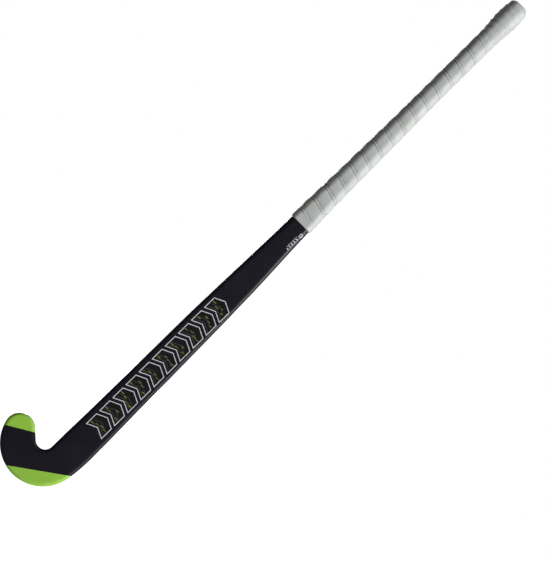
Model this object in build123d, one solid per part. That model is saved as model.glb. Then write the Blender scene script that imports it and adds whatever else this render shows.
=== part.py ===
"""Field hockey stick: a hooked composite body, what it holds inside, its butt cap and its grip.

Units are millimetres. The stick stands upright, its toe towards -X and its flat playing face
towards -Y. Every section is laid out along s, the distance up the playing face from the base of
the head, with x across the face and v through the thickness, from the flat face (v = 0) back.
"""
import os
from math import asin, cos, degrees, radians, sin, sqrt

from build123d import *

# Driving dimensions along the stick
JOIN = 90.0               # s at which the head meets the shaft
BOW_START = 100.0         # s at which the bow begins, above the head
BOW_END = 330.0           # s from which the handle runs straight
BOW_ANGLE = 7.9           # degrees between the head's face and the handle
GRIP_BOTTOM = 509.0
CAP_BOTTOM = 862.0        # s of the lower lip of the butt cap
BODY_TOP = 918.0          # s at which the laminate body ends, inside the butt cap
CAP_TOP = 926.2

# Wall thicknesses
SKIN = 2.2                # outer laminate
PLY = 0.8                 # impact layers laid inside the head
TUBE = 1.0                # each of the two inner laminate tubes
BLADDER = 0.6             # nylon bladders that stay in the tubes
UNDERLAY = 0.5            # double-sided tape under the grip
GRIP = 1.3                # cushioned wrap

# The head's outline, from its heel edge round the base to the toe and back into the crook
HEEL_X = 28.2             # heel edge of the shaft where the head begins
HEEL_STRAIGHT = 86.54     # s down to which the heel edge is straight
HOOK_ARCS = [(244.97, 8.83), (57.62, 88.6), (58.88, 67.9), (20.83, 146.72)]  # radius, turn
TOE_LENGTH = 16.95        # straight inner edge of the toe
CROOK_RADIUS = 12.7

# The head's section: small front edge rounding, larger back edge rounding, a gently crowned back
THICKNESS = 22.5
FACE_RADIUS = 5.0
BACK_RADIUS = 10.5
CROWN_RADIUS = 42.0
HOOK_X = -32.0            # the crown runs down the middle of the shaft, then round this centre
HOOK_S = 60.0

# Shaft stations above the head: s, toe edge x, heel edge x, thickness, face radius, back radius,
# crown radius
SHAFT = [
    (125, -19.9, 27.8, 22.4, 5.0, 10.5, 41.0),
    (165, -19.6, 26.9, 22.2, 5.0, 10.5, 39.5),
    (205, -19.3, 26.1, 22.0, 5.0, 10.5, 38.0),
    (245, -19.0, 25.4, 21.8, 5.0, 10.5, 36.0),
    (285, -18.9, 24.6, 21.6, 5.0, 10.5, 34.0),
    (325, -18.6, 23.8, 21.5, 5.0, 10.5, 32.0),
    (365, -17.8, 22.7, 21.5, 5.0, 10.5, 30.0),
    (405, -16.8, 21.5, 21.5, 5.2, 10.4, 28.5),
    (440, -15.9, 19.8, 21.6, 5.5, 10.3, 26.5),
    (475, -15.2, 18.0, 21.8, 6.0, 10.2, 24.0),
    (505, -14.7, 16.6, 22.2, 6.8, 10.0, 21.5),
    (540, -13.9, 15.1, 22.7, 7.8, 10.0, 18.6),
    (580, -13.0, 14.0, 23.3, 8.8, 10.0, 16.0),
    (625, -12.3, 13.4, 23.8, 9.4, 9.8, 14.4),
    (680, -11.7, 12.8, 24.0, 9.5, 9.6, 13.6),
    (740, -11.4, 11.8, 24.0, 9.5, 9.5, 13.0),
    (CAP_BOTTOM, -11.5, 11.5, 24.0, 9.5, 9.5, 12.9),
    (BODY_TOP, -11.5, 11.5, 24.0, 9.5, 9.5, 12.9),
]
# The butt's flare: s, and how far the cap stands out from the body all round
FLARE = [(CAP_BOTTOM, 0.3), (874, 1.0), (887, 2.2), (899, 2.8), (909, 2.3), (917, 1.0), (CAP_TOP, -0.8)]
CAP_ROUNDING = 5.0
GRIP_ROUNDING = 6.0

# The web between the two tubes leans from the middle of the shaft to the middle of the handle
WEB_AT_HEAD = 3.8         # its x at the head
WEB_STRAIGHT = 740.0      # height from which it stands at x = 0

# Lengths of foam in the tubes, as spans of height
HANDLE_FOAM = (640, 760)
BUTT_PLUG = (890, BODY_TOP)
BLADDER_FOOT = 92.0       # height of the closed lower end of each bladder's inside

FAR = 400.0               # larger than the stick's width and depth
BOW_RADIUS = (BOW_END - BOW_START) / radians(BOW_ANGLE)


def spine(s):
    """The playing face at s: its y and z, and its lean in degrees."""
    lean = BOW_ANGLE * min(max((BOW_END - s) / (BOW_END - BOW_START), 0), 1)
    below = min(s - BOW_START, 0)
    above = max(s - BOW_END, 0)
    y = BOW_RADIUS * (cos(radians(lean)) - 1) + below * sin(radians(lean))
    z = BOW_END - BOW_RADIUS * sin(radians(lean)) + below * cos(radians(lean)) + above
    return y, z, lean


def station_plane(s):
    """The plane across the stick at s, with x across the face and y through the thickness."""
    y, z, lean = spine(s)
    return Plane((0, y, z), x_dir=(1, 0, 0), z_dir=(0, sin(radians(lean)), cos(radians(lean))))


def section(toe_x, heel_x, thickness, face_r, back_r, crown_r, inset):
    """One D-shaped section, shrunk by inset all round. A negative inset makes it grow."""
    middle = (toe_x + heel_x) / 2
    half = (heel_x - toe_x) / 2
    face_u = half - face_r
    back_u = half - back_r
    crown_v = thickness - crown_r
    back_v = crown_v + sqrt((crown_r - back_r) ** 2 - back_u ** 2)
    spread = degrees(asin(back_u / (crown_r - back_r)))

    def at(centre_u, centre_v, radius, angle):
        """A point on a corner, at an angle from straight back towards the heel."""
        reach = radius - inset
        u = middle + centre_u + reach * sin(radians(angle))
        return u, centre_v + reach * cos(radians(angle))

    def corner(centre_u, centre_v, radius, start, end):
        turns = (start, (start + end) / 2, end)
        return ThreePointArc(*[at(centre_u, centre_v, radius, turn) for turn in turns])

    heel_face = corner(face_u, face_r, face_r, 180, 90)
    heel_back = corner(back_u, back_v, back_r, 90, spread)
    crown = corner(0, crown_v, crown_r, spread, -spread)
    toe_back = corner(-back_u, back_v, back_r, -spread, -90)
    toe_face = corner(-face_u, face_r, face_r, -90, -180)
    face = Line(toe_face @ 1, heel_face @ 0)
    heel_side = Line(heel_face @ 1, heel_back @ 0)
    toe_side = Line(toe_back @ 1, toe_face @ 0)
    return Wire([face, heel_face, heel_side, heel_back, crown, toe_back, toe_side, toe_face])


def shaft(inset):
    """The solid shaft and handle, above the head."""
    start = (JOIN, TOE_EDGE, HEEL_X, THICKNESS, FACE_RADIUS, BACK_RADIUS, CROWN_RADIUS)
    return Solid.make_loft([station_plane(s) * section(*size, inset) for s, *size in [start, *SHAFT]])


def handle(bottom, top, inset):
    """A straight-cut length of the shaft and handle."""
    return shaft(inset) & slab(bottom, top)


def slab(bottom, top):
    """Everything between two heights."""
    return Pos(0, 0, (bottom + top) / 2) * Box(FAR, FAR, top - bottom)


def hook_path(inset):
    """The head's outline in X and s, shrunk by inset: its edges, and the x of its toe edge."""
    x, z, heading = HEEL_X - inset, HEEL_STRAIGHT, -90.0
    edges = [Line((x, JOIN), (x, z))]

    def turn_by(radius, turn):
        """Add an arc from where the outline has come to, turning by an angle, left positive."""
        nonlocal x, z, heading
        side = 90 if turn > 0 else -90
        centre_x = x + radius * cos(radians(heading + side))
        centre_z = z + radius * sin(radians(heading + side))
        points = [(x, z)]
        for share in (0.5, 1):
            angle = radians(heading + turn * share + side)
            points.append((centre_x - radius * cos(angle), centre_z - radius * sin(angle)))
        edges.append(ThreePointArc(*points))
        x, z = points[-1]
        heading += turn

    for radius, turn in HOOK_ARCS:
        turn_by(radius - inset, -turn)
    end = (x + TOE_LENGTH * cos(radians(heading)), z + TOE_LENGTH * sin(radians(heading)))
    edges.append(Line((x, z), end))
    x, z = end
    turn_by(CROOK_RADIUS + inset, sum(turn for _, turn in HOOK_ARCS) - 180)
    edges.append(Line((x, z), (x, JOIN)))
    edges.append(Line((x, JOIN), (HEEL_X - inset, JOIN)))
    return edges, x


def crowned(blank, inset):
    """The blank cut to the crowned back: a round bar down the shaft, then a ring round the hook."""
    crown_x = (TOE_EDGE + HEEL_X) / 2
    crown_v = THICKNESS - CROWN_RADIUS
    circle = Plane.XY.offset(HOOK_S) * Pos(crown_x, crown_v) * Circle(CROWN_RADIUS - inset)
    bar = extrude(circle, amount=JOIN)
    window = Plane.XY.offset(HOOK_S) * Pos(crown_x, 0) * Rectangle(2 * (crown_x - HOOK_X) - 1, FAR)
    ring = revolve(circle & window, Axis((HOOK_X, 0, HOOK_S), (0, 1, 0)), 360)
    shaft_side = Pos(HOOK_X + FAR / 2, 0, HOOK_S + FAR / 2) * Box(FAR, FAR, FAR)
    return (blank & shaft_side & bar) + ((blank - shaft_side) & ring)


TOE_EDGE = hook_path(0)[1]


def head(inset):
    """The solid head, shrunk by inset, cut off square at JOIN and leaning with the bow."""
    outline = Plane.XZ * Face(Wire(hook_path(inset)[0]))
    blank = extrude(outline, amount=THICKNESS, dir=(0, 1, 0))
    blank = blank & Pos(0, inset + FAR / 2, 0) * Box(FAR, FAR, FAR)
    face = blank.faces().sort_by(Axis.Y)[0]
    blank = fillet([edge for edge in face.edges() if edge.center().Z < JOIN - 1], FACE_RADIUS - inset)
    blank = crowned(blank, inset)
    crown = [face for face in blank.faces() if face.normal_at(face.center()).Y > 0.3]
    walls = [face for face in blank.faces() if abs(face.normal_at(face.center()).Y) < 0.05]
    crown_edges = {edge for face in crown for edge in face.edges()}
    wall_edges = {edge for face in walls for edge in face.edges()}
    rim = [edge for edge in crown_edges & wall_edges if edge.center().Z < JOIN - 0.1]
    y, z, lean = spine(0)
    return Pos(0, y, z) * Rot(X=-lean) * fillet(rim, BACK_RADIUS - inset)


def depth_band(front, back):
    """What lies between two depths behind the head's flat face."""
    y, z, lean = spine(0)
    middle = (front + back) / 2
    return Pos(0, y, z) * Rot(X=-lean) * Pos(0, middle, 0) * Box(FAR, back - front, FAR)


def web_x(z):
    """Where the web stands across the stick at a height."""
    return WEB_AT_HEAD * max(WEB_STRAIGHT - z, 0) / (WEB_STRAIGHT - JOIN)


def side_of_web(side, gap, bottom, top):
    """Everything on one side of the web (toe -1, heel +1), gap away from it, between two heights."""
    heights = sorted({bottom, min(max(WEB_STRAIGHT, bottom), top), top})
    inner = [(web_x(z) + side * gap, z) for z in heights]
    outer = [(side * FAR, top), (side * FAR, bottom)]
    outline = Plane.XZ * Face(Wire.make_polygon(inner + outer))
    return extrude(outline, amount=FAR, both=True)


def composite_body():
    """The outer laminate: one hollow skin from the toe to the top of the handle."""
    return (head(0) - head(SKIN)) + (shaft(0) - shaft(SKIN))


def head_layers():
    """The impact layers inside the skin of the head: a flat face ply and a ply round the back."""
    outside = head(SKIN)
    layer = outside - head(SKIN + PLY)
    return {
        "face_impact_ply": outside & depth_band(0, SKIN + PLY),
        "back_impact_ply": layer & depth_band(SKIN + PLY, THICKNESS),
    }


def tube_pieces(name, side):
    """One inner tube, its bladder, its handle foam and its butt plug."""
    low, high = JOIN - THICKNESS, BODY_TOP
    tube_inside = shaft(SKIN + TUBE) & side_of_web(side, TUBE, low, high)
    hollow = shaft(SKIN + TUBE + BLADDER)
    clear = TUBE + BLADDER
    return {
        f"{name}_tube": (shaft(SKIN) & side_of_web(side, 0, low, high)) - tube_inside,
        f"{name}_bladder": tube_inside - (hollow & side_of_web(side, clear, BLADDER_FOOT, high)),
        f"{name}_handle_foam": hollow & side_of_web(side, clear, *HANDLE_FOAM),
        f"{name}_butt_plug": hollow & side_of_web(side, clear, *BUTT_PLUG),
    }


def flared_end(outset, top, rounding):
    """The flared, rounded butt end, grown by outset."""
    size = SHAFT[-1][1:]
    stations = FLARE[:-1] + [(top, FLARE[-1][1])]
    butt = Solid.make_loft([station_plane(s) * section(*size, -flare - outset) for s, flare in stations])
    return fillet(butt.faces().sort_by(Axis.Z)[-1].edges(), rounding)


def grip_pieces(body, cap_outside):
    """The tape under the grip and the cushioned wrap, which also covers the butt cap."""
    underlay_outside = handle(GRIP_BOTTOM, CAP_BOTTOM, -UNDERLAY)
    sleeve = handle(GRIP_BOTTOM, CAP_BOTTOM, -UNDERLAY - GRIP)
    end = flared_end(GRIP + UNDERLAY - FLARE[0][1], CAP_TOP + GRIP, GRIP_ROUNDING)
    return {
        "grip_underlay": underlay_outside - body,
        "grip_wrap": (sleeve + end) - (underlay_outside + cap_outside),
    }


def build():
    """Every node by name, with the origin under the middle of the whole stick."""
    body_outside = shaft(0)
    cap_outside = flared_end(0, CAP_TOP, CAP_ROUNDING)
    nodes = {"composite_body": composite_body(), "head_core": head(SKIN + PLY)}
    nodes |= head_layers()
    nodes |= tube_pieces("toe_side", -1)
    nodes |= tube_pieces("heel_side", 1)
    nodes["butt_cap"] = cap_outside - body_outside
    nodes |= grip_pieces(body_outside, cap_outside)
    box = nodes["composite_body"].bounding_box().add(nodes["grip_wrap"].bounding_box())
    to_origin = Pos(-box.center().X, -box.center().Y, -box.min.Z)
    return {name: to_origin * shape for name, shape in nodes.items()}


def main():
    os.makedirs("parts", exist_ok=True)
    for name, shape in build().items():
        export_step(shape, f"parts/{name}.step")
        print(f"{name:24} {shape.volume:10.0f} mm3")


main()
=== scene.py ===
"""Field hockey stick: a lacquered composite body with printed marks, and a spirally wound grip.

The stick is laid out as its maker would: s is the distance up the flat face from the base of the
head, x runs across the face from the toe side to the heel side, and v is the depth behind the
face. Sizes in that layout are in millimetres, and place() puts them in the frame in metres.
"""

import math
import random

import bmesh
import bpy
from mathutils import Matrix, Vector
from mathutils.bvhtree import BVHTree


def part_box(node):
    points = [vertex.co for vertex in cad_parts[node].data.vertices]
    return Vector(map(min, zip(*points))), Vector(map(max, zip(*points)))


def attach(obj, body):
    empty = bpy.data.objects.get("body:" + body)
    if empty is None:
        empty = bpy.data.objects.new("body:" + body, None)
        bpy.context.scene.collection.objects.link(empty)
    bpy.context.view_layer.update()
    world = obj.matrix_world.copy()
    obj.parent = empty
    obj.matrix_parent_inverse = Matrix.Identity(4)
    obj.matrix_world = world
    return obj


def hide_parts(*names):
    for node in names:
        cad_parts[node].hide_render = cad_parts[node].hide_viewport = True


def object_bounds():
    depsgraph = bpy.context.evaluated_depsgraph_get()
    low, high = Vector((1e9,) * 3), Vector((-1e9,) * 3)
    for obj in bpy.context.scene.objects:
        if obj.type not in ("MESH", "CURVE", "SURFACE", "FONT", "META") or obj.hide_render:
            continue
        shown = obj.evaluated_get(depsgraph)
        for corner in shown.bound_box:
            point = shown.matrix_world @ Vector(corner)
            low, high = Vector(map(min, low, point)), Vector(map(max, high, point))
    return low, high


bl_info = {
    "name": "Field hockey stick",
    "version": (1, 0, 0),
    "blender": (4, 5, 0),
    "location": "3D View > Sidebar > Stick",
    "description": "Builds a field hockey stick with its finishes, floor, lights and camera",
    "category": "Add Mesh",
}

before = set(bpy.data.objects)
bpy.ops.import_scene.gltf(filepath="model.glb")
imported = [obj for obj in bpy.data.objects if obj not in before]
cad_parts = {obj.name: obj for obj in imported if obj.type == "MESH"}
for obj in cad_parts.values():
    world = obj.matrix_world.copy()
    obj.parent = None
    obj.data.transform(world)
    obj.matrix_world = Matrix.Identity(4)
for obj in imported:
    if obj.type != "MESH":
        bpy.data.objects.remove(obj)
CAD_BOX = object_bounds()

MM = 0.001

# Layout of the stick, in millimetres and degrees
JOIN = 90.0                # s at which the head meets the shaft
BOW_START, BOW_END = 100.0, 330.0
BOW_ANGLE = 7.9
BOW_RADIUS = (BOW_END - BOW_START) / math.radians(BOW_ANGLE)
GRIP_BOTTOM = 509.0
BODY_TOP = 918.0
UNDERLAY = 0.5             # tape between the body and the wrap
GRIP_REACH = 1.8           # how far the wrap stands out from the body

# The head's outline: a straight heel edge, arcs (radius, turn) round to the toe, the toe's edge
HEEL_X, HEEL_STRAIGHT = 28.2, 86.54
HOOK_ARCS = [(244.97, 8.83), (57.62, 88.6), (58.88, 67.9), (20.83, 146.72)]
TOE_LENGTH = 16.95
CROOK_RADIUS = 12.7
HOOK_X, HOOK_S = -32.0, 60.0   # centre of the ring that the crowned back follows

# Section sizes up the stick: s, toe edge, heel edge, thickness, face, back and crown radius
THICKNESS = 22.5
HEAD_SIZES = (THICKNESS, 5.0, 10.5, 42.0)
SHAFT = [
    (125, -19.9, 27.8, 22.4, 5.0, 10.5, 41.0),
    (165, -19.6, 26.9, 22.2, 5.0, 10.5, 39.5),
    (205, -19.3, 26.1, 22.0, 5.0, 10.5, 38.0),
    (245, -19.0, 25.4, 21.8, 5.0, 10.5, 36.0),
    (285, -18.9, 24.6, 21.6, 5.0, 10.5, 34.0),
    (325, -18.6, 23.8, 21.5, 5.0, 10.5, 32.0),
    (365, -17.8, 22.7, 21.5, 5.0, 10.5, 30.0),
    (405, -16.8, 21.5, 21.5, 5.2, 10.4, 28.5),
    (440, -15.9, 19.8, 21.6, 5.5, 10.3, 26.5),
    (475, -15.2, 18.0, 21.8, 6.0, 10.2, 24.0),
    (505, -14.7, 16.6, 22.2, 6.8, 10.0, 21.5),
    (540, -13.9, 15.1, 22.7, 7.8, 10.0, 18.6),
    (580, -13.0, 14.0, 23.3, 8.8, 10.0, 16.0),
    (625, -12.3, 13.4, 23.8, 9.4, 9.8, 14.4),
    (680, -11.7, 12.8, 24.0, 9.5, 9.6, 13.6),
    (740, -11.4, 11.8, 24.0, 9.5, 9.5, 13.0),
    (862, -11.5, 11.5, 24.0, 9.5, 9.5, 12.9),
    (BODY_TOP, -11.5, 11.5, 24.0, 9.5, 9.5, 12.9),
]
# How far the butt's flare stands out from the body, by s
FLARE = [(862, 0.3), (874, 1.0), (887, 2.2), (899, 2.8), (909, 2.3), (917, 1.0), (926.2, -0.8)]

CAMERA_LEAN = 45.39        # how far the view is rolled to lay the stick on its diagonal
CAMERA_X, CAMERA_S = 29.9, 430.1

# The lime panels: three points (x, s, v) of the plane that ends each one on the black
TOE_PANEL = ((-86.5, 37.9, 0), (-50.0, 59.6, 0), (-44.6, 61.6, 22))
HEEL_PANEL = ((-45.2, 2.5, 0), (25.8, 53.3, 0), (28.0, 57.6, 22))
CROOK_MIDDLE = -33.0       # x that parts the toe from the shaft
HEAD_TOP = 0.1             # height in the frame, in metres, below which a panel can lie

# Where the frame's own origin lies in this layout
underlay_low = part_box("grip_underlay")[0]
cap_low, cap_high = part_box("butt_cap")
ORIGIN = Vector((
    (cap_low.x + cap_high.x) / 2,
    underlay_low.y + UNDERLAY * MM,
    underlay_low.z - GRIP_BOTTOM * MM,
))
GRIP_TOP = (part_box("grip_wrap")[1].z - ORIGIN.z) / MM


# ---------------------------------------------------------------- layout

def spine(s):
    """The flat face at s: its y and z, and its lean in radians."""
    lean = math.radians(BOW_ANGLE) * min(max((BOW_END - s) / (BOW_END - BOW_START), 0), 1)
    below, above = min(s - BOW_START, 0), max(s - BOW_END, 0)
    y = BOW_RADIUS * (math.cos(lean) - 1) + below * math.sin(lean)
    z = BOW_END - BOW_RADIUS * math.sin(lean) + below * math.cos(lean) + above
    return y, z, lean


def place(x, s, v):
    """A point of the layout, in the frame."""
    y, z, lean = spine(s)
    return ORIGIN + Vector((x, y + v * math.cos(lean), z - v * math.sin(lean))) * MM


def hook_outline():
    """The head's outline from the heel edge round to the toe edge, and how its parts lie."""
    x, s, heading = HEEL_X, HEEL_STRAIGHT, -90.0
    points = [(x, JOIN + 50.0), (x, s)]

    def add_arc(radius, turn):
        nonlocal x, s, heading
        side = math.copysign(90, turn)
        centre_x = x + radius * math.cos(math.radians(heading + side))
        centre_s = s + radius * math.sin(math.radians(heading + side))
        steps = max(4, round(abs(turn)))
        for step in range(1, steps + 1):
            angle = math.radians(heading + turn * step / steps + side)
            out_x, out_s = radius * math.cos(angle), radius * math.sin(angle)
            points.append((centre_x - out_x, centre_s - out_s))
        x, s = points[-1]
        heading += turn
        return centre_x, centre_s

    centres = [add_arc(radius, -turn) for radius, turn in HOOK_ARCS]
    x += TOE_LENGTH * math.cos(math.radians(heading))
    s += TOE_LENGTH * math.sin(math.radians(heading))
    points.append((x, s))
    toe_axis = heading
    crook = add_arc(CROOK_RADIUS, sum(turn for _, turn in HOOK_ARCS) - 180)
    points.append((x, JOIN + 50.0))
    return [Vector(point) for point in points], centres[-1], crook, toe_axis


OUTLINE, TOE_CENTRE, CROOK_CENTRE, TOE_HEADING = hook_outline()
TOE_EDGE = OUTLINE[-1].x
CROWN_X = (TOE_EDGE + HEEL_X) / 2


def sizes_at(s):
    """Toe edge, heel edge, thickness and the three radii at s, smoothly between the stations."""
    rows = [(JOIN, TOE_EDGE, HEEL_X, *HEAD_SIZES), *SHAFT]
    if s <= JOIN:
        return rows[0][1:]
    last = len(rows) - 1
    i = max(k for k in range(last) if rows[k][0] <= s)
    before, low, high, after = rows[max(i - 1, 0)], rows[i], rows[i + 1], rows[min(i + 2, last)]
    span = high[0] - low[0]
    t = min((s - low[0]) / span, 1.0)
    sizes = []
    for k in range(1, 7):
        rise_in = (high[k] - before[k]) / (high[0] - before[0]) * span
        rise_out = (after[k] - low[k]) / (after[0] - low[0]) * span
        value = (
            (2 * t**3 - 3 * t**2 + 1) * low[k] + (t**3 - 2 * t**2 + t) * rise_in
            + (3 * t**2 - 2 * t**3) * high[k] + (t**3 - t**2) * rise_out
        )
        sizes.append(value)
    return sizes


def rounded_back(offset, half, thickness, back_r, crown_r):
    """Depth of the back at an offset from the crown line, on a section of that half width."""
    back_u = half - back_r
    crown_v = thickness - crown_r
    if abs(offset) * (crown_r - back_r) <= back_u * crown_r:
        return crown_v + math.sqrt(crown_r**2 - offset**2)
    back_v = crown_v + math.sqrt((crown_r - back_r) ** 2 - back_u**2)
    return back_v + math.sqrt(max(back_r**2 - (abs(offset) - back_u) ** 2, 0))


def nearest_edge(x, s):
    """Distance from a point of the head to its outline, and the direction outwards there."""
    point = Vector((x, s))
    best = (1e9, Vector((1, 0)))
    for start, end in zip(OUTLINE, OUTLINE[1:]):
        run = end - start
        t = min(max((point - start).dot(run) / run.length_squared, 0), 1)
        gap = (point - start - run * t).length
        if gap < best[0]:
            best = (gap, Vector((-run.y, run.x)).normalized())
    return best


def back_depth(x, s):
    """Depth of the body's back surface behind the flat face."""
    if s >= JOIN:
        toe_x, heel_x, thickness, _, back_r, crown_r = sizes_at(s)
        half = (heel_x - toe_x) / 2
        return rounded_back(x - (toe_x + heel_x) / 2, half, thickness, back_r, crown_r)
    thickness, _, back_r, crown_r = HEAD_SIZES
    gap, outwards = nearest_edge(x, s)
    if s > HOOK_S and x > HOOK_X:
        offset, across = abs(x - CROWN_X), Vector((1, 0))
    else:
        spoke = Vector((x - HOOK_X, s - HOOK_S))
        offset, across = abs(spoke.length - (CROWN_X - HOOK_X)), spoke.normalized()
    square_on = across.dot(outwards) ** 2
    side = rounded_back(offset, max(offset + gap, back_r), thickness, back_r, crown_r)
    bite = max(back_r - gap, 0)
    end = thickness - crown_r + math.sqrt(crown_r**2 - offset**2)
    end -= back_r - math.sqrt(back_r**2 - bite**2)
    return square_on * side + (1 - square_on) * end


def face_depth(gap, radius):
    """Depth of the front edge's rounding, at a distance in from the outline."""
    bite = max(radius - gap, 0)
    return radius - math.sqrt(max(radius**2 - bite**2, 0))


# ---------------------------------------------------------------- meshes

def new_piece(name, replaced=()):
    """An empty mesh object that rides the stick."""
    piece = bpy.data.objects.new(name, bpy.data.meshes.new(name))
    bpy.context.scene.collection.objects.link(piece)
    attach(piece, "root")
    if replaced:
        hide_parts(*replaced)
    return piece


def finish_mesh(piece, mesh, materials):
    """Write the mesh into the piece, smooth, with outward faces and its materials."""
    bmesh.ops.recalc_face_normals(mesh, faces=mesh.faces)
    for face in mesh.faces:
        face.smooth = True
    mesh.to_mesh(piece.data)
    mesh.free()
    for material in materials:
        piece.data.materials.append(material)


def skin_rows(mesh, rows):
    """Faces between closed rows of points, row by row."""
    rings = [[mesh.verts.new(point) for point in row] for row in rows]
    count = len(rows[0])
    for lower, upper in zip(rings, rings[1:]):
        for i in range(count):
            j = (i + 1) % count
            mesh.faces.new((lower[i], lower[j], upper[j], upper[i]))
    return rings


def section_columns(half, face_r, back_r, crown_r):
    """Offsets across a section, in order round it, tagged face, side or back."""
    back_u = half - back_r
    spread = math.asin(back_u / (crown_r - back_r))
    flat = half - face_r
    face = [flat * k / 6 for k in range(-6, 7)]
    face_round = [flat + face_r * math.sin(math.radians(15 * k)) for k in range(1, 6)]
    back_arc = math.pi / 2 - spread
    back_round = [
        back_u + back_r * math.sin(math.pi / 2 - back_arc * k / 10) for k in range(1, 10)
    ]
    crown = [crown_r * math.sin(spread) * math.cos(math.pi * k / 16) for k in range(0, 17)]
    columns = [(u, "face") for u in face + face_round]
    columns += [(half, "low side"), (half, "high side")]
    columns += [(u, "back") for u in back_round + crown + [-u for u in reversed(back_round)]]
    columns += [(-half, "high side"), (-half, "low side")]
    columns += [(-u, "face") for u in reversed(face_round)]
    return columns


def shaft_row(s):
    """One closed row of the body's surface above the head, as layout points."""
    toe_x, heel_x, thickness, face_r, back_r, crown_r = sizes_at(s)
    middle, half = (toe_x + heel_x) / 2, (heel_x - toe_x) / 2
    row = []
    for u, part in section_columns(half, face_r, back_r, crown_r):
        if part == "face":
            v = face_depth(half - abs(u), face_r)
        elif part == "low side":
            v = face_r
        else:
            v = rounded_back(u, half, thickness, back_r, crown_r)
        row.append((middle + u, s, v))
    return row


def across_hook(start, direction):
    """Where a line from the crook's side of the head leaves it on the far side."""
    far = None
    for a, b in zip(OUTLINE, OUTLINE[1:]):
        run = b - a
        cross = direction.x * run.y - direction.y * run.x
        if abs(cross) < 1e-9:
            continue
        gap = a - start
        reach = (gap.x * run.y - gap.y * run.x) / cross
        along = (gap.x * direction.y - gap.y * direction.x) / cross
        if reach > 0.5 and -1e-6 <= along <= 1 + 1e-6 and (far is None or reach > far):
            far = reach
    return start + direction * far


def hook_ribs():
    """Pairs of points, crook side and far side, from the toe's tip round to the shaft."""
    crook, toe = Vector(CROOK_CENTRE), Vector(TOE_CENTRE)
    heading = math.radians(TOE_HEADING)
    to_tip = -Vector((math.cos(heading), math.sin(heading)))
    inner = Vector((-to_tip.y, to_tip.x))
    if inner.dot(crook - toe) < 0:
        inner = -inner
    radius = HOOK_ARCS[-1][0]
    ribs = []
    for step in range(24):
        angle = math.pi / 2 * (1 - (step / 24) ** 1.5)
        start = toe + to_tip * radius * math.sin(angle) + inner * radius * math.cos(angle)
        end = toe + to_tip * radius * math.sin(angle) - inner * radius * math.cos(angle)
        if step:
            end = across_hook(start, -inner)
        ribs.append((start, end))
    for step in range(8):
        start = toe + inner * radius - to_tip * TOE_LENGTH * step / 8
        ribs.append((start, across_hook(start, -inner)))
    turn = sum(turn for _, turn in HOOK_ARCS) - 180
    for step in range(66):
        angle = math.radians(-turn * (1 - step / 66))
        spoke = Vector((math.cos(angle), math.sin(angle)))
        start = crook + spoke * CROOK_RADIUS
        ribs.append((start, across_hook(start, spoke)))
    for step in range(8):
        s = crook.y + (JOIN - crook.y) * step / 8
        ribs.append((Vector((TOE_EDGE, s)), across_hook(Vector((TOE_EDGE, s)), Vector((1, 0)))))
    return ribs


def head_row(inner, outer):
    """One closed row of the head's surface along a rib, as layout points."""
    _, face_r, back_r, crown_r = HEAD_SIZES
    half = (HEEL_X - TOE_EDGE) / 2
    row = []
    for u, part in section_columns(half, face_r, back_r, crown_r):
        point = inner.lerp(outer, (u / half + 1) / 2)
        if part == "low side":
            v = face_r
        elif part == "face":
            v = face_depth(nearest_edge(*point)[0], face_r)
        else:
            v = back_depth(*point)
        row.append((point.x, point.y, v))
    return row


def body_rows():
    """All closed rows of the body's surface, from the toe's tip to the top of the shaft."""
    rows = [head_row(inner, outer) for inner, outer in hook_ribs()]
    s = JOIN
    while s < BODY_TOP - 1:
        rows.append(shaft_row(s))
        s += 6.0
    rows.append(shaft_row(BODY_TOP))
    return rows


def on_surface(x, s, side, lift):
    """A point that stands out from the body's face or back by lift."""
    if side == "back":
        return place(x, s, back_depth(x, s) + lift)
    if s >= JOIN:
        toe_x, heel_x, _, face_r, _, _ = sizes_at(s)
        gap = min(x - toe_x, heel_x - x)
    else:
        face_r, gap = HEAD_SIZES[1], nearest_edge(x, s)[0]
    return place(x, s, face_depth(gap, face_r) - lift)


def lay_shape(mesh, corners, side, lift, step=2.5):
    """A flat shape of ink, cut to small faces and laid on as a thin closed layer.

    side is "face" or "back" of the body, or a function that gives a point from x, s and lift.
    """
    spot = side if callable(side) else lambda x, s, lift: on_surface(x, s, side, lift)
    flat = bmesh.new()
    flat.faces.new([flat.verts.new((x, s, 0)) for x, s in corners])
    for axis in (0, 1):
        low = min(corner[axis] for corner in corners)
        high = max(corner[axis] for corner in corners)
        cut = math.floor(low / step) * step + step
        while cut < high:
            if min(cut - low, high - cut) > 0.05:
                normal = Vector((1, 0, 0)) if axis == 0 else Vector((0, 1, 0))
                parts = flat.verts[:] + flat.edges[:] + flat.faces[:]
                bmesh.ops.bisect_plane(flat, geom=parts, plane_co=normal * cut, plane_no=normal)
            cut += step
    bmesh.ops.remove_doubles(flat, verts=flat.verts, dist=0.02)
    flat.verts.index_update()
    above = [mesh.verts.new(spot(v.co.x, v.co.y, lift)) for v in flat.verts]
    under = [mesh.verts.new(spot(v.co.x, v.co.y, -0.12)) for v in flat.verts]
    for face in flat.faces:
        order = [v.index for v in face.verts]
        mesh.faces.new([above[i] for i in order])
        mesh.faces.new([under[i] for i in reversed(order)])
    for edge in flat.edges:
        if len(edge.link_faces) == 1:
            a, b = (v.index for v in edge.verts)
            wall = mesh.faces.new((above[a], above[b], under[b], under[a]))
            for rim in wall.edges:
                rim.smooth = False
    flat.free()


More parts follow.
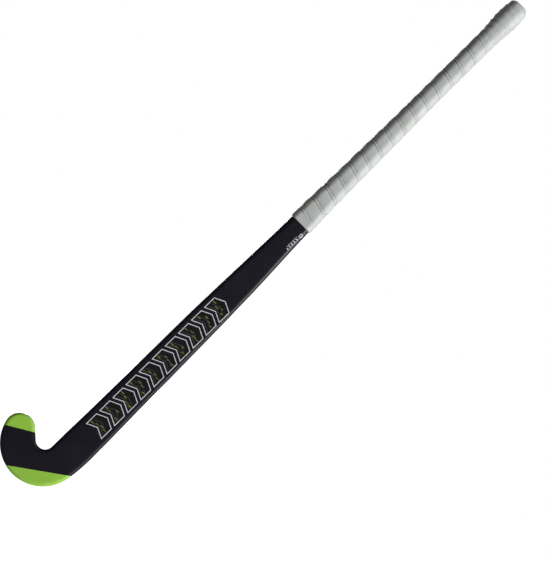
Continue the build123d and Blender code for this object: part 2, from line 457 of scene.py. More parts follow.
def shrink(corners, width):
    """A polygon moved in by width on every side."""
    points = [Vector(corner) for corner in corners]
    count = len(points)
    area = sum(points[i - 1].cross(points[i]) for i in range(count))
    turn = 1 if area > 0 else -1
    inner = []
    for i in range(count):
        before, here, after = points[i - 1], points[i], points[(i + 1) % count]
        a, b = (here - before).normalized(), (after - here).normalized()
        normal_a, normal_b = Vector((-a.y, a.x)) * turn, Vector((-b.y, b.x)) * turn
        mitre = (normal_a + normal_b) / (1 + normal_a.dot(normal_b))
        inner.append(here + mitre * width)
    return [tuple(point) for point in inner]


def lay_outline(mesh, corners, width, side, lift):
    """A stroke of ink of that width just inside a polygon."""
    inner = shrink(corners, width)
    for i in range(len(corners)):
        lay_shape(mesh, (corners[i - 1], corners[i], inner[i], inner[i - 1]), side, lift)


def chevron(middle, low, half, rise, depth):
    """The two arms of a chevron that points up the stick, each a list of corners."""
    tip, notch = (middle, low + rise + depth), (middle, low + rise)
    left = [(middle - half, low), notch, tip, (middle - half, low + depth)]
    right = [notch, (middle + half, low), (middle + half, low + depth), tip]
    return left, right


def chevron_border(middle, low, half, rise, depth):
    """The outline of a whole chevron."""
    return [
        (middle - half, low), (middle, low + rise), (middle + half, low),
        (middle + half, low + depth), (middle, low + rise + depth), (middle - half, low + depth),
    ]


def section_ring(s, reach, count):
    """Points evenly round the section at s, moved out by reach, and the section's centre."""
    toe_x, heel_x, thickness, face_r, back_r, crown_r = sizes_at(s)
    middle, half = (toe_x + heel_x) / 2, (heel_x - toe_x) / 2
    back_u, crown_v = half - back_r, thickness - crown_r
    spread = math.asin(back_u / (crown_r - back_r))
    back_v = crown_v + math.sqrt((crown_r - back_r) ** 2 - back_u**2)
    arcs = [
        (half - face_r, face_r, face_r, -90, 0),
        (back_u, back_v, back_r, 0, 90 - math.degrees(spread)),
        (0, crown_v, crown_r, 90 - math.degrees(spread), 90 + math.degrees(spread)),
        (-back_u, back_v, back_r, 90 + math.degrees(spread), 180),
        (face_r - half, face_r, face_r, 180, 270),
    ]
    path = []
    for u, v, radius, start, end in arcs:
        for step in range(13):
            angle = math.radians(start + (end - start) * step / 12)
            size = radius + reach
            path.append(Vector((middle + u + size * math.cos(angle), v + size * math.sin(angle))))
    begin = (path[0] + path[-1]) / 2
    path = [begin, *path, begin]
    lengths = [0.0]
    for a, b in zip(path, path[1:]):
        lengths.append(lengths[-1] + (b - a).length)
    ring, k = [], 0
    for i in range(count):
        target = lengths[-1] * i / count
        while lengths[k + 1] < target:
            k += 1
        t = (target - lengths[k]) / max(lengths[k + 1] - lengths[k], 1e-9)
        ring.append(path[k].lerp(path[k + 1], t))
    return ring, Vector((middle, thickness / 2))


def between(stations, s):
    """A value eased between (s, value) stations, held beyond the ends."""
    if s <= stations[0][0]:
        return stations[0][1]
    for (s0, a), (s1, b) in zip(stations, stations[1:]):
        if s <= s1:
            t = (s - s0) / (s1 - s0)
            return a + (b - a) * t * t * (3 - 2 * t)
    return stations[-1][1]


# ---------------------------------------------------------------- materials

class Value:
    """A node's output, or a number, that builds Math nodes when it is worked with."""

    def __init__(self, finish, socket):
        self.finish = finish
        self.socket = socket

    def math(self, operation, *others):
        inputs = {0: self, **{i + 1: other for i, other in enumerate(others)}}
        return self.finish.add("ShaderNodeMath", {"operation": operation}, inputs)

    def __add__(self, other):
        return self.math("ADD", other)

    __radd__ = __add__

    def __mul__(self, other):
        return self.math("MULTIPLY", other)

    __rmul__ = __mul__

    def __sub__(self, other):
        return self.math("SUBTRACT", other)

    def __rsub__(self, other):
        return self.finish.add("ShaderNodeMath", {"operation": "SUBTRACT"}, {0: other, 1: self})

    def __truediv__(self, other):
        return self.math("DIVIDE", other)


class Finish:
    """A material's or world's shader, and a method that adds any other node."""

    def __init__(self, name, world=None, **constants):
        self.material = world or bpy.data.materials.new(name)
        self.material.use_nodes = True
        self.tree = self.material.node_tree
        self.shader = self.tree.nodes["Background" if world else "Principled BSDF"]
        for socket, value in constants.items():
            self.shader.inputs[socket.replace("_", " ")].default_value = value

    def add(self, kind, settings=None, inputs=None, output=0):
        node = self.tree.nodes.new(kind)
        for name, value in (settings or {}).items():
            if name == "stops":
                ramp = node.color_ramp
                ramp.elements[0].position, ramp.elements[0].color = value[0]
                ramp.elements[1].position, ramp.elements[1].color = value[-1]
                for position, colour in value[1:-1]:
                    ramp.elements.new(position).color = colour
            else:
                setattr(node, name, value)
        for name, value in (inputs or {}).items():
            if isinstance(value, Value):
                self.tree.links.new(value.socket, node.inputs[name])
            else:
                node.inputs[name].default_value = value
        return Value(self, node.outputs[output])

    def feed(self, name, value):
        """Link a value to one of the shader's sockets."""
        self.tree.links.new(value.socket, self.shader.inputs[name])

    def spot(self):
        """Where the point lies on the object, as a vector and as separate numbers."""
        spot = self.add("ShaderNodeTexCoord", output="Object")
        parts = self.add("ShaderNodeSeparateXYZ", None, {0: spot})
        node = parts.socket.node
        return spot, [Value(self, node.outputs[i]) for i in range(3)]

    def noise(self, spot, scale, detail=3.0, roughness=0.55):
        inputs = {"Vector": spot, "Scale": scale, "Detail": detail, "Roughness": roughness}
        return self.add("ShaderNodeTexNoise", {"noise_dimensions": "3D"}, inputs)

    def mix(self, factor, first, second):
        """A blend of two colours, each a socket or a fixed colour."""
        inputs = {0: factor, 6: first, 7: second}
        return self.add("ShaderNodeMix", {"data_type": "RGBA"}, inputs, output=2)

    def ramp(self, factor, low, high, out_low=0.0, out_high=1.0):
        """Map a value's range onto another, clamped."""
        inputs = {0: factor, 1: low, 2: high, 3: out_low, 4: out_high}
        return self.add("ShaderNodeMapRange", {"clamp": True}, inputs)

    def bump(self, height, distance, strength=1.0):
        inputs = {"Height": height, "Distance": distance, "Strength": strength}
        self.feed("Normal", self.add("ShaderNodeBump", None, inputs))


def rgba(colour, factor=1.0):
    """A colour as a socket takes it, darkened or brightened by a factor."""
    return (*(channel * factor for channel in colour[:3]), 1.0)


def twill(finish, parts, tow):
    """Twill cloth: 0 to 1 across each tow, and which tow lies on top."""
    x, y, z = parts
    warp = (x + y) * (1 / tow)
    weft = z * (1 / tow)
    over = ((warp.math("FLOOR") + weft.math("FLOOR")) / 4).math("FRACT").math("LESS_THAN", 0.49)
    on_top = finish.add("ShaderNodeMix", {"data_type": "FLOAT"}, {0: over, 2: weft, 3: warp})
    return (on_top.math("FRACT") * math.pi).math("SINE"), over


def lacquer(colour, hue):
    """Satin black lacquer over a carbon twill that barely shows through."""
    made = Finish(
        "lacquered_composite", Coat_Roughness=0.38, Specular_IOR_Level=0.2,
        Sheen_Weight=0.04, Sheen_Roughness=0.35, Sheen_Tint=rgba((0.45, 0.42, 0.85)),
    )
    spot, parts = made.spot()
    tow, over = twill(made, parts, 0.0021)
    cloud = made.noise(spot, 14.0, 4.0)
    grain = made.noise(spot, 900.0, 2.0)
    base = made.mix(made.ramp(cloud, 0.35, 0.65), rgba(colour), rgba(hue))
    weave = made.ramp(tow * 0.6 + over * 0.4, 0.1, 1.0, 0.0, 0.38)
    base = made.mix(weave, base, rgba(colour, 3.2))
    scuff = made.ramp(made.noise(spot, 55.0, 6.0, 0.7), 0.68, 0.78, 0.0, 0.10)
    base = made.mix(scuff, base, rgba((0.09, 0.09, 0.10)))
    made.feed("Base Color", base)
    gloss = made.ramp(parts[2], 0.2, 0.48, 0.02, 0.30)
    made.feed("Coat Weight", gloss + made.ramp(cloud, 0.4, 0.6, 0.0, 0.03))
    made.feed("Roughness", made.ramp(cloud, 0.3, 0.7, 0.42, 0.54) + scuff)
    made.bump(tow * 0.7 + grain * 0.3, 0.00010, 0.6)
    return made.material


def lime_paint(colour, shade):
    """Solid lime lacquer, slightly mottled, worn dull where balls are struck."""
    made = Finish("lime_lacquer", Coat_Weight=0.3, Coat_Roughness=0.2)
    spot, _ = made.spot()
    cloud = made.noise(spot, 26.0, 5.0)
    speck = made.noise(spot, 700.0, 2.0)
    base = made.mix(made.ramp(cloud, 0.3, 0.7), rgba(colour), rgba(shade))
    rub = made.ramp(made.noise(spot, 80.0, 6.0, 0.7), 0.66, 0.78, 0.0, 0.15)
    made.feed("Base Color", made.mix(rub, base, rgba(shade, 0.55)))
    made.feed("Roughness", made.ramp(cloud, 0.3, 0.7, 0.36, 0.48) + rub)
    made.bump(speck, 0.00008, 0.5)
    return made.material


def ink(name, colour, roughness=0.4, fleck=0.12):
    """Printed ink under lacquer, with a little grain."""
    made = Finish(name, Coat_Weight=0.06, Coat_Roughness=0.3, Specular_IOR_Level=0.3)
    spot, _ = made.spot()
    grain = made.noise(spot, 1200.0, 3.0)
    darker = rgba(colour, 1 - fleck * 2)
    made.feed("Base Color", made.mix(made.ramp(grain, 0.3, 0.7), rgba(colour), darker))
    made.feed("Roughness", made.ramp(grain, 0.3, 0.7, roughness, roughness + 0.1))
    return made.material


def grip_skin(colour, shade):
    """Off-white polyurethane: fine leather grain, handled patches, and painted shade darkening its
    creases.
    """
    made = Finish("grip_polyurethane", IOR=1.46, Sheen_Weight=0.15)
    spot, _ = made.spot()
    pores = {"Vector": spot, "Scale": 1500.0}
    grain = made.add("ShaderNodeTexVoronoi", {"feature": "SMOOTH_F1"}, pores)
    fine = made.noise(spot, 2600.0, 3.0)
    cloud = made.noise(spot, 32.0, 5.0, 0.6)
    hollow = made.add("ShaderNodeNewGeometry", output="Pointiness")
    base = made.mix(made.ramp(cloud, 0.35, 0.7), rgba(colour), rgba(shade))
    # Painted shade: a darkened copy of the handled tone, laid into the hollow creases of the wrap
    # where shade falls
    painted_crease_shade = rgba(shade, 0.45)
    pore = rgba(shade, 0.7)
    base = made.mix(made.ramp(hollow, 0.42, 0.497, 0.75, 0.0), base, painted_crease_shade)
    made.feed("Base Color", made.mix(made.ramp(grain, 0.0, 0.5, 0.10, 0.0), base, pore))
    made.feed("Roughness", made.ramp(cloud, 0.3, 0.7, 0.50, 0.66))
    made.bump(grain * 0.6 + fine * 0.4, 0.00012, 0.6)
    return made.material


def aramid_cloth(colour, resin):
    """Golden aramid cloth in resin."""
    made = Finish("aramid_cloth", Coat_Weight=0.3)
    spot, parts = made.spot()
    tow, over = twill(made, parts, 0.0016)
    fibre = made.noise(spot, 1800.0, 4.0)
    base = made.mix(made.ramp(tow, 0.0, 0.8), rgba(resin), rgba(colour))
    base = made.mix(over * 0.25, base, rgba(colour, 0.7))
    made.feed("Base Color", made.mix(made.ramp(fibre, 0.4, 0.7, 0.0, 0.3), base, rgba(resin)))
    made.feed("Roughness", made.ramp(tow, 0.0, 1.0, 0.55, 0.4))
    made.bump(tow, 0.0002, 0.6)
    return made.material


def bare_laminate(colour, glint):
    """Carbon twill as it leaves the mould."""
    made = Finish("bare_laminate", Coat_Weight=0.2)
    spot, parts = made.spot()
    tow, over = twill(made, parts, 0.0024)
    fibre = made.noise(spot, 1600.0, 3.0)
    base = made.mix(tow * 0.6 + over * 0.3, rgba(colour), rgba(glint))
    made.feed("Base Color", made.mix(made.ramp(fibre, 0.4, 0.8, 0.0, 0.4), base, rgba(colour)))
    made.feed("Roughness", made.ramp(over, 0.0, 1.0, 0.32, 0.45))
    made.bump(tow, 0.00015, 0.6)
    return made.material


def foam(name, colour, shade, cell):
    """Closed-cell foam with open cells at its cut skin."""
    made = Finish(name)
    spot, _ = made.spot()
    cells = made.add("ShaderNodeTexVoronoi", {"feature": "F1"}, {"Vector": spot, "Scale": 1 / cell})
    open_cell = rgba(shade, 0.6)
    cloud = made.noise(spot, 60.0, 4.0)
    base = made.mix(made.ramp(cloud, 0.3, 0.7), rgba(colour), rgba(shade))
    made.feed("Base Color", made.mix(made.ramp(cells, 0.0, 0.7, 0.5, 0.0), base, open_cell))
    made.feed("Roughness", made.ramp(cells, 0.0, 0.8, 0.95, 0.8))
    made.bump(cells, cell * 0.3, 0.7)
    return made.material


def film(colour, shade):
    """Thin nylon film, creased by the mould's pressure."""
    made = Finish("nylon_film", Coat_Weight=0.1)
    spot, _ = made.spot()
    crease = made.noise(spot, 120.0, 6.0, 0.7)
    made.feed("Base Color", made.mix(made.ramp(crease, 0.3, 0.7), rgba(colour), rgba(shade)))
    made.feed("Roughness", made.ramp(crease, 0.3, 0.7, 0.22, 0.4))
    made.bump(crease, 0.0003, 0.6)
    return made.material


def moulded(colour, shade):
    """Moulded black plastic with a fine spark texture."""
    made = Finish("butt_cap_plastic")
    spot, _ = made.spot()
    spark = made.noise(spot, 1400.0, 4.0)
    made.feed("Base Color", made.mix(made.ramp(spark, 0.3, 0.7), rgba(colour), rgba(shade)))
    made.feed("Roughness", made.ramp(spark, 0.3, 0.7, 0.45, 0.6))
    made.bump(spark, 0.0001, 0.6)
    return made.material


def woven_tape(colour, shade):
    """Cotton tape with a plain weave."""
    made = Finish("woven_tape")
    spot, (x, y, z) = made.spot()
    along = (z * (math.pi / 0.0004)).math("SINE")
    round_it = ((x + y) * (math.pi / 0.0004)).math("SINE")
    weave = along * round_it
    fuzz = made.noise(spot, 1500.0, 3.0)
    made.feed("Base Color", made.mix(made.ramp(weave, -1.0, 1.0), rgba(colour), rgba(shade)))
    made.feed("Roughness", made.ramp(fuzz, 0.3, 0.7, 0.8, 0.95))
    made.bump(weave * 0.5 + fuzz, 0.00015, 0.6)
    return made.material


# ---------------------------------------------------------------- settings

def colour_setting(name, description, default):
    return bpy.props.FloatVectorProperty(
        name=name, description=description, default=default,
        subtype="COLOR", size=3, min=0.0, max=1.0,
    )


def length_setting(name, description, default):
    return bpy.props.FloatProperty(
        name=name, description=description, default=default, unit="LENGTH", min=0.0,
    )


class BodySettings(bpy.types.PropertyGroup):
    """Finish of the composite body"""
    black: colour_setting("Black", "Lacquer over the carbon", (0.0050, 0.0040, 0.0075))
    hue: colour_setting("Tint", "Second shade that clouds the lacquer", (0.0085, 0.0060, 0.0145))
    lime: colour_setting("Lime", "Panels at the toe and the heel", (0.35, 0.66, 0.070))
    lime_shade: colour_setting("Lime shade", "Second shade of the panels", (0.31, 0.59, 0.058))
    edge: length_setting("Panel edging", "Width of the dark line along each panel", 0.0009)


class MarkSettings(bpy.types.PropertyGroup):
    """Printed marks"""
    stroke: length_setting("Stroke", "Width of the pale outlines", 0.0011)
    pale: colour_setting("Pale ink", "Outlines and pinstripes", (0.78, 0.79, 0.82))
    dark: colour_setting("Dark ink", "Inside the outlined marks", (0.005, 0.005, 0.006))
    mid: colour_setting("Mid ink", "Inner chevron lines", (0.050, 0.052, 0.062))
    fleck: colour_setting("Fleck ink", "Short olive flecks", (0.26, 0.225, 0.045))


class GripSettings(bpy.types.PropertyGroup):
    """Spiral grip"""
    pitch: length_setting("Pitch", "Rise of one turn of the wrap", 0.0222)
    strip: length_setting("Overlap", "Width of the raised strip beside each seam", 0.0036)
    skin: colour_setting("Skin", "Polyurethane of the wrap", (0.535, 0.56, 0.555))
    shade: colour_setting("Handled", "Where hands have worn it", (0.455, 0.465, 0.44))


class StageSettings(bpy.types.PropertyGroup):
    """Floor, lights and camera"""
    distance: length_setting("Camera distance", "From the camera to the stick", 3.0)
    frame_height: length_setting("Frame height", "Height of the view at the stick", 0.7533)
    key_power: bpy.props.FloatProperty(
        name="Key", description="Power of the key lights, in watts", default=112.0,
    )
    floor: colour_setting("Floor", "Colour of the floor", (0.55, 0.55, 0.55))


# ---------------------------------------------------------------- operators

class STICK_OT_body(bpy.types.Operator):
    """Build the composite body, with its lime panels at the toe and the heel"""
    bl_idname = "stick.body"
    bl_label = "Composite body"

    def execute(self, context):
        settings = context.scene.stick_body
        piece = new_piece("composite_body_finish", ["composite_body"])
        mesh = bmesh.new()
        rings = skin_rows(mesh, [[place(*point) for point in row] for row in body_rows()])
        mesh.faces.new(reversed(rings[-1]))
        bmesh.ops.remove_doubles(mesh, verts=mesh.verts, dist=2e-6)
        mesh.normal_update()
        crook_x = place(CROOK_MIDDLE, 60, 0).x
        for panel, keep in ((TOE_PANEL, Vector((-1, 1))), (HEEL_PANEL, Vector((1, -1)))):
            a, b, c = (place(*corner) for corner in panel)
            normal = (b - a).cross(c - a).normalized()
            if normal.x * keep.x + normal.z * keep.y < 0:
                normal = -normal
            for shift in (0.0, -settings.edge):
                near = [f for f in mesh.faces if all(v.co.z < HEAD_TOP for v in f.verts)]
                if panel is TOE_PANEL:
                    near = [f for f in near if all(v.co.x < crook_x for v in f.verts)]
                parts = set(near)
                for face in near:
                    parts.update(face.verts)
                    parts.update(face.edges)
                plane = a + normal * shift
                bmesh.ops.bisect_plane(
                    mesh, geom=list(parts), plane_co=plane, plane_no=normal, dist=1e-6,
                )
            for face in mesh.faces:
                middle = face.calc_center_median()
                if middle.z > HEAD_TOP or (panel is TOE_PANEL and middle.x > crook_x):
                    continue
                depth = (middle - a).dot(normal)
                if depth > 0:
                    face.material_index = 1
                elif depth > -settings.edge:
                    face.material_index = 2
        black = lacquer(settings.black, settings.hue)
        lime = lime_paint(settings.lime, settings.lime_shade)
        edging = ink("edging_ink", (0.004, 0.004, 0.006), 0.35)
        finish_mesh(piece, mesh, [black, lime, edging])
        return {"FINISHED"}


class STICK_OT_marks(bpy.types.Operator):
    """Print the marks: outlined chevrons on the face and back, lozenges, stamps and pinstripes"""
    bl_idname = "stick.marks"
    bl_label = "Printed marks"

    def execute(self, context):
        settings = context.scene.stick_marks
        stroke = settings.stroke / MM
        chance = random.Random(7)
        pale = ink("pale_ink", settings.pale)
        dark = ink("dark_ink", settings.dark)
        mid = ink("mid_ink", settings.mid)
        fleck = ink("fleck_ink", settings.fleck)
        rise, margin = 7.0, 3.2
        for side, middle, half, low, pitch in (
            ("face", 4.25, 14.7, 116.0, 24.6), ("back", 0.5, 12.6, 142.0, 22.6),
        ):
            outlines, fills, insets, flecks = (bmesh.new() for _ in range(4))
            depth = pitch * 0.80
            for k in range(10):
                base = low + k * pitch
                border = chevron_border(middle, base, half, rise, depth)
                lay_outline(outlines, border, stroke, side, 0.10)
                for arm in chevron(middle, base, half, rise, depth):
                    lay_shape(fills, arm, side, 0.05)
                slope = rise * (1 - margin / half)
                for arm in chevron(middle, base + pitch * 0.42, half - margin, slope, 1.2):
                    lay_shape(insets, arm, side, 0.08)
                    lay_shape(insets, [(x, s - 5.2) for x, s in arm], side, 0.08)
                if side == "face":
                    for place_in_row in range(4):
                        x = middle + (place_in_row - 1.5) * half * 0.44 + chance.uniform(-0.8, 0.8)
                        s = base + 3.0 + (1 - abs(x - middle) / half) * rise + chance.uniform(0, 9)
                        left, right = x - 2.6, x + 2.6
                        bar = [(left, s), (right, s + 0.6), (right, s + 1.9), (left, s + 1.3)]
                        lay_shape(flecks, bar, side, 0.08)
            for name, mesh, material in (
                ("outlines", outlines, pale), ("fills", fills, dark),
                ("insets", insets, mid), ("flecks", flecks, fleck),
            ):
                if mesh.faces:
                    piece = new_piece(f"{side}_{name}")
                    finish_mesh(piece, mesh, [material])
                else:
                    mesh.free()

        small = bmesh.new()
        for k in range(5):
            low = 471.5 + k * 4.4
            for arm in chevron(12.4, low, 1.3, 1.0, 1.5):
                lay_shape(small, arm, "face", 0.1, 0.8)
        box = [(10.6, 495), (14.4, 495), (14.4, 500.5), (10.6, 500.5)]
        lay_outline(small, box, 0.8, "face", 0.1)
        lay_shape(small, [(9.6, 474), (10.2, 474), (10.2, 493), (9.6, 493)], "face", 0.1)
        lay_shape(small, [(1.6, 470), (2.4, 470), (2.4, 508.6), (1.6, 508.6)], "back", 0.1)
        for k in range(8):
            for arm in chevron(-2.0, 437 + k * 5.4, 1.5, 1.2, 1.8):
                lay_shape(small, arm, "back", 0.1, 0.8)
        finish_mesh(new_piece("shaft_stamps"), small, [pale])

        lozenges, lozenge_fill = bmesh.new(), bmesh.new()
        along = Vector((0.81, 0.59))
        across = Vector((-0.59, 0.81))
        start = Vector((-34.0, 12.5))
        end, width = start + along * 62, across * 2.2
        tail = [start, end, end + width, start + along * 6 + width]
        lay_shape(lozenges, [tuple(point) for point in tail], "back", 0.1)
        for low, high, half, stroke_width in ((39.0, 91.0, 7.5, 2.0), (49.0, 81.0, 2.6, 1.2)):
            lean, point = 9.0, (high - low) * 0.28
            shift = lean * 0.44
            ends = [
                (-lean, low), (half - shift, low + point), (half + shift, high - point),
                (lean, high), (shift - half, high - point), (-shift - half, low + point),
            ]
            corners = [(x + 3.0, s) for x, s in ends]
            lay_outline(lozenges, corners, stroke_width, "back", 0.1)
            if half > 5:
                lay_shape(lozenge_fill, corners, "back", 0.05)
        finish_mesh(new_piece("head_lozenges"), lozenges, [pale])
        finish_mesh(new_piece("head_lozenge_fill"), lozenge_fill, [dark])
        return {"FINISHED"}


class STICK_OT_grip(bpy.types.Operator):
    """Wind the off-white grip up the handle and over the rounded butt"""
    bl_idname = "stick.grip"
    bl_label = "Grip wrap"

    around = 112
    row_step = 0.75
    knob = 858.0           # s above which the wrap is wound steeply, over the knob
    knob_pitch = 9.8
    first_turn = 525.0     # s at which a seam crosses angle zero
    seam, seam_width = 0.70, 0.6
    crease, crease_width = 0.62, 0.55
    sunk = 0.40            # how far the plain wrap lies under its full reach

    def relief(self, s, angle, settings):
        """How far the wrap swells or dips at a height and angle round the handle."""
        pitch, strip = settings.pitch / MM, settings.strip / MM
        turns = (min(s, self.knob) - self.first_turn) / pitch
        turns += max(s - self.knob, 0) / self.knob_pitch
        wide = pitch if s < self.knob else self.knob_pitch
        across = (turns + angle / 360) % 1 * wide
        groove = self.seam * math.exp(-((min(across, wide - across) / self.seam_width) ** 2))
        height = 1.15 - 0.35 * min(max((s - 600) / 150, 0), 1)
        swell = height * math.sin(math.pi * max(across - strip, 0) / (wide - strip)) ** 0.6
        fade = min(max((s - GRIP_BOTTOM - 9) / 4, 0), 1)
        if s < self.knob:
            groove += self.crease * math.exp(-(((across - strip) / self.crease_width) ** 2))
            rim = 0.75 * math.sin(math.pi * min(across / strip, 1))
        else:
            rim, swell, groove = 0, swell * 0.8, groove * 0.75
        return (swell + rim - groove) * fade - self.sunk + 0.60 * (1 - fade)

    def execute(self, context):
        settings = context.scene.stick_grip
        piece = new_piece("grip_wrap_skin", ["grip_wrap"])
        flare = [(848, 0.0), *FLARE]
        rounding = 5.0
        shoulder = GRIP_TOP - rounding - 0.7
        mesh = bmesh.new()
        rows = []

        def add_row(s, reach, relief=1.0, shrink_to=1.0):
            ring, centre = section_ring(min(s, BODY_TOP), reach, self.around)
            row = []
            for point in ring:
                spoke = point - centre
                angle = math.degrees(math.atan2(spoke.x, -spoke.y)) + 90
                out = spoke.normalized() * self.relief(s, angle, settings) * relief
                spot = centre + (spoke + out) * shrink_to
                row.append(place(spot.x, s, spot.y))
            rows.append(row)

        inner_stops = [925.3, 922, 915, 905, 895, 885, 875, 865, 862]
        inner_stops += [840 - 40 * k for k in range(9)] + [GRIP_BOTTOM]
        inner_top = inner_stops[0]
        add_row(inner_top, between(flare, inner_top) - 4.0, 0)
        for s in inner_stops[1:]:
            add_row(s, (between(flare, s) + 0.1) if s >= 862 else UNDERLAY, 0)
        add_row(GRIP_BOTTOM, UNDERLAY + 0.6, 0)
        add_row(GRIP_BOTTOM + 0.15, GRIP_REACH - 0.45, 0)
        s = GRIP_BOTTOM + 0.7
        while s < shoulder:
            add_row(s, GRIP_REACH + between(flare, s) + 0.5 * min(max((s - 905) / 15, 0), 1))
            s += self.row_step
        for step in range(1, 10):
            angle = math.radians(8.6 * step)
            s = shoulder + rounding * math.sin(angle)
            rounded = rounding * (1 - math.cos(angle))
            add_row(s, GRIP_REACH + between(flare, s) + 0.5 - rounded, math.cos(angle))
        edge = rounded - between(flare, s) - 0.5
        for step in range(1, 9):
            rise = (GRIP_TOP - s) * (1 - (1 - step / 8) ** 2)
            add_row(s + rise, GRIP_REACH - edge, 0, 1 - step / 8.4)
        rings = skin_rows(mesh, rows)
        mesh.faces.new(rings[-1])
        mesh.faces.new(reversed(rings[0]))
        finish_mesh(piece, mesh, [grip_skin(settings.skin, settings.shade)])

        touch = BVHTree.FromPolygons(
            [vertex.co for vertex in piece.data.vertices],
            [polygon.vertices for polygon in piece.data.polygons],
        )

        def on_wrap(towards):
            def spot(x, s, lift):
                start = place(x, s, THICKNESS / 2) - Vector((0, 0.06 * towards, 0))
                hit = touch.ray_cast(start, Vector((0, towards, 0)))[0]
                return hit - Vector((0, lift * MM * towards, 0))
            return spot

        embossed, printed = bmesh.new(), bmesh.new()
        for side in (1, -1):
            for s in (862, 846, 822, 800, 776):
                for arm in chevron(0.5, s, 4.2, 3.0, 1.5) + chevron(0.5, s + 3.2, 4.2, 3.0, 1.5):
                    lay_shape(embossed, arm, on_wrap(side), 0.28, 1.0)
        for s in (534.5, 542):
            for arm in chevron(-4.5, s, 4.5, 4.0, 2.6):
                lay_shape(printed, arm, on_wrap(-1), 0.12, 1.0)
        finish_mesh(new_piece("grip_embossing"), embossed, [piece.data.materials[0]])
        grey = ink("grey_ink", (0.20, 0.22, 0.26))
        finish_mesh(new_piece("grip_print"), printed, [grey])
        return {"FINISHED"}


class STICK_OT_inside(bpy.types.Operator):
    """Give the plies, cores, tubes, foams, plugs, tape and cap their finishes"""
    bl_idname = "stick.inside"
    bl_label = "Inner pieces"

    def execute(self, context):
        finishes = {
            "aramid": aramid_cloth((0.55, 0.36, 0.06), (0.20, 0.12, 0.02)),
            "laminate": bare_laminate((0.010, 0.010, 0.012), (0.07, 0.07, 0.08)),
            "core": foam("core_foam", (0.62, 0.55, 0.36), (0.52, 0.45, 0.28), 0.0006),
            "damping": foam("damping_foam", (0.10, 0.11, 0.13), (0.07, 0.08, 0.09), 0.0008),
            "film": film((0.55, 0.60, 0.62), (0.45, 0.50, 0.53)),
            "plastic": moulded((0.012, 0.012, 0.013), (0.020, 0.020, 0.022)),
            "tape": woven_tape((0.52, 0.50, 0.44), (0.36, 0.34, 0.30)),
        }
        nodes = {
            "head_core": "core",
            "face_impact_ply": "aramid", "back_impact_ply": "aramid",
            "toe_side_tube": "laminate", "heel_side_tube": "laminate",
            "toe_side_bladder": "film", "heel_side_bladder": "film",
            "toe_side_handle_foam": "damping", "heel_side_handle_foam": "damping",
            "toe_side_butt_plug": "damping", "heel_side_butt_plug": "damping",
            "butt_cap": "plastic", "grip_underlay": "tape",
        }
        for node, finish in nodes.items():
            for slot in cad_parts[node].material_slots:
                slot.link = "OBJECT"
                slot.material = finishes[finish]
        return {"FINISHED"}


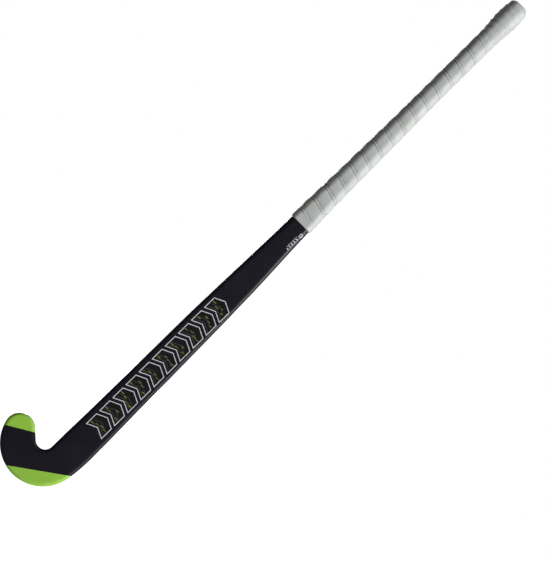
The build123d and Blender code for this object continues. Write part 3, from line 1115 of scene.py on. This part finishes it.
class STICK_OT_stage(bpy.types.Operator):
    """Lay the pale floor, hang the soft lights and set the camera"""
    bl_idname = "stick.stage"
    bl_label = "Stage"

    def execute(self, context):
        settings = context.scene.stick_stage
        scene = context.scene
        scene.view_settings.view_transform = "Standard"

        camera = bpy.data.objects.new("camera", bpy.data.cameras.new("camera"))
        scene.collection.objects.link(camera)
        camera.data.sensor_width = 36.0
        camera.data.lens = 36.0 * settings.distance / settings.frame_height
        camera.data.clip_end = 100.0
        lean = math.radians(CAMERA_LEAN)
        target = ORIGIN + Vector((CAMERA_X, 0, CAMERA_S)) * MM
        camera.location = (target.x, -settings.distance, target.z)
        camera.rotation_euler = (math.pi / 2, -lean, 0)
        scene.camera = camera

        # White to the camera, and dim to everything the world lights
        scene.world = bpy.data.worlds.new("studio")
        backdrop = Finish("studio", scene.world, Color=(1, 1, 1, 1))
        seen = backdrop.add("ShaderNodeLightPath", output="Is Camera Ray")
        backdrop.feed("Strength", backdrop.ramp(seen, 0.0, 1.0, 0.035, 1.0))

        floor = bpy.data.objects.new("floor", bpy.data.meshes.new("floor"))
        scene.collection.objects.link(floor)
        sheet = bmesh.new()
        bmesh.ops.create_grid(sheet, x_segments=8, y_segments=8, size=9.0)
        sheet.to_mesh(floor.data)
        sheet.free()
        floor.location.z = CAD_BOX[0].z
        made = Finish("pale_floor", Roughness=0.9, Emission_Strength=1.0)
        spot, _ = made.spot()
        cloud = made.noise(spot, 3.0)
        made.feed("Base Color", made.mix(cloud, rgba(settings.floor), (0.5, 0.5, 0.5, 1)))
        glow = made.add("ShaderNodeLightPath", output="Is Camera Ray")
        made.feed("Emission Color", made.mix(glow, (0, 0, 0, 1), (0.98, 0.98, 0.98, 1)))
        floor.data.materials.append(made.material)

        for name, spot, size, power in (
            ("key_face", (2.75, -1.55, 0.9), 1.0, settings.key_power),
            ("key_back", (-0.9, 3.0, 0.9), 1.0, settings.key_power * 0.6),
            ("fill_top", (0.8, -0.8, 3.0), 1.6, settings.key_power * 0.16),
        ):
            light = bpy.data.objects.new(name, bpy.data.lights.new(name, "AREA"))
            scene.collection.objects.link(light)
            light.data.size = size
            light.data.energy = power
            light.location = spot
            towards = Vector((0, 0, 0.45)) - Vector(spot)
            light.rotation_euler = towards.to_track_quat("-Z", "Y").to_euler()
        return {"FINISHED"}


class STICK_PT_panel(bpy.types.Panel):
    """The stick's sizes, colours and pieces"""
    bl_idname = "STICK_PT_panel"
    bl_label = "Field hockey stick"
    bl_space_type = "VIEW_3D"
    bl_region_type = "UI"
    bl_category = "Stick"

    def draw(self, context):
        scene = context.scene
        for settings, operator in (
            (scene.stick_body, STICK_OT_body), (scene.stick_marks, STICK_OT_marks),
            (scene.stick_grip, STICK_OT_grip), (None, STICK_OT_inside),
            (scene.stick_stage, STICK_OT_stage),
        ):
            box = self.layout.box()
            if settings:
                for name in type(settings).__annotations__:
                    box.prop(settings, name)
            box.operator(operator.bl_idname)


GROUPS = {
    "stick_body": BodySettings, "stick_marks": MarkSettings,
    "stick_grip": GripSettings, "stick_stage": StageSettings,
}
CLASSES = (
    *GROUPS.values(), STICK_OT_body, STICK_OT_marks, STICK_OT_grip, STICK_OT_inside,
    STICK_OT_stage, STICK_PT_panel,
)


def register():
    for cls in CLASSES:
        bpy.utils.register_class(cls)
    for name, group in GROUPS.items():
        setattr(bpy.types.Scene, name, bpy.props.PointerProperty(type=group))


def unregister():
    for name in GROUPS:
        delattr(bpy.types.Scene, name)
    for cls in reversed(CLASSES):
        bpy.utils.unregister_class(cls)


def main():
    register()
    bpy.ops.stick.body()
    bpy.ops.stick.marks()
    bpy.ops.stick.grip()
    bpy.ops.stick.inside()
    bpy.ops.stick.stage()


if __name__ == "__main__":
    main()
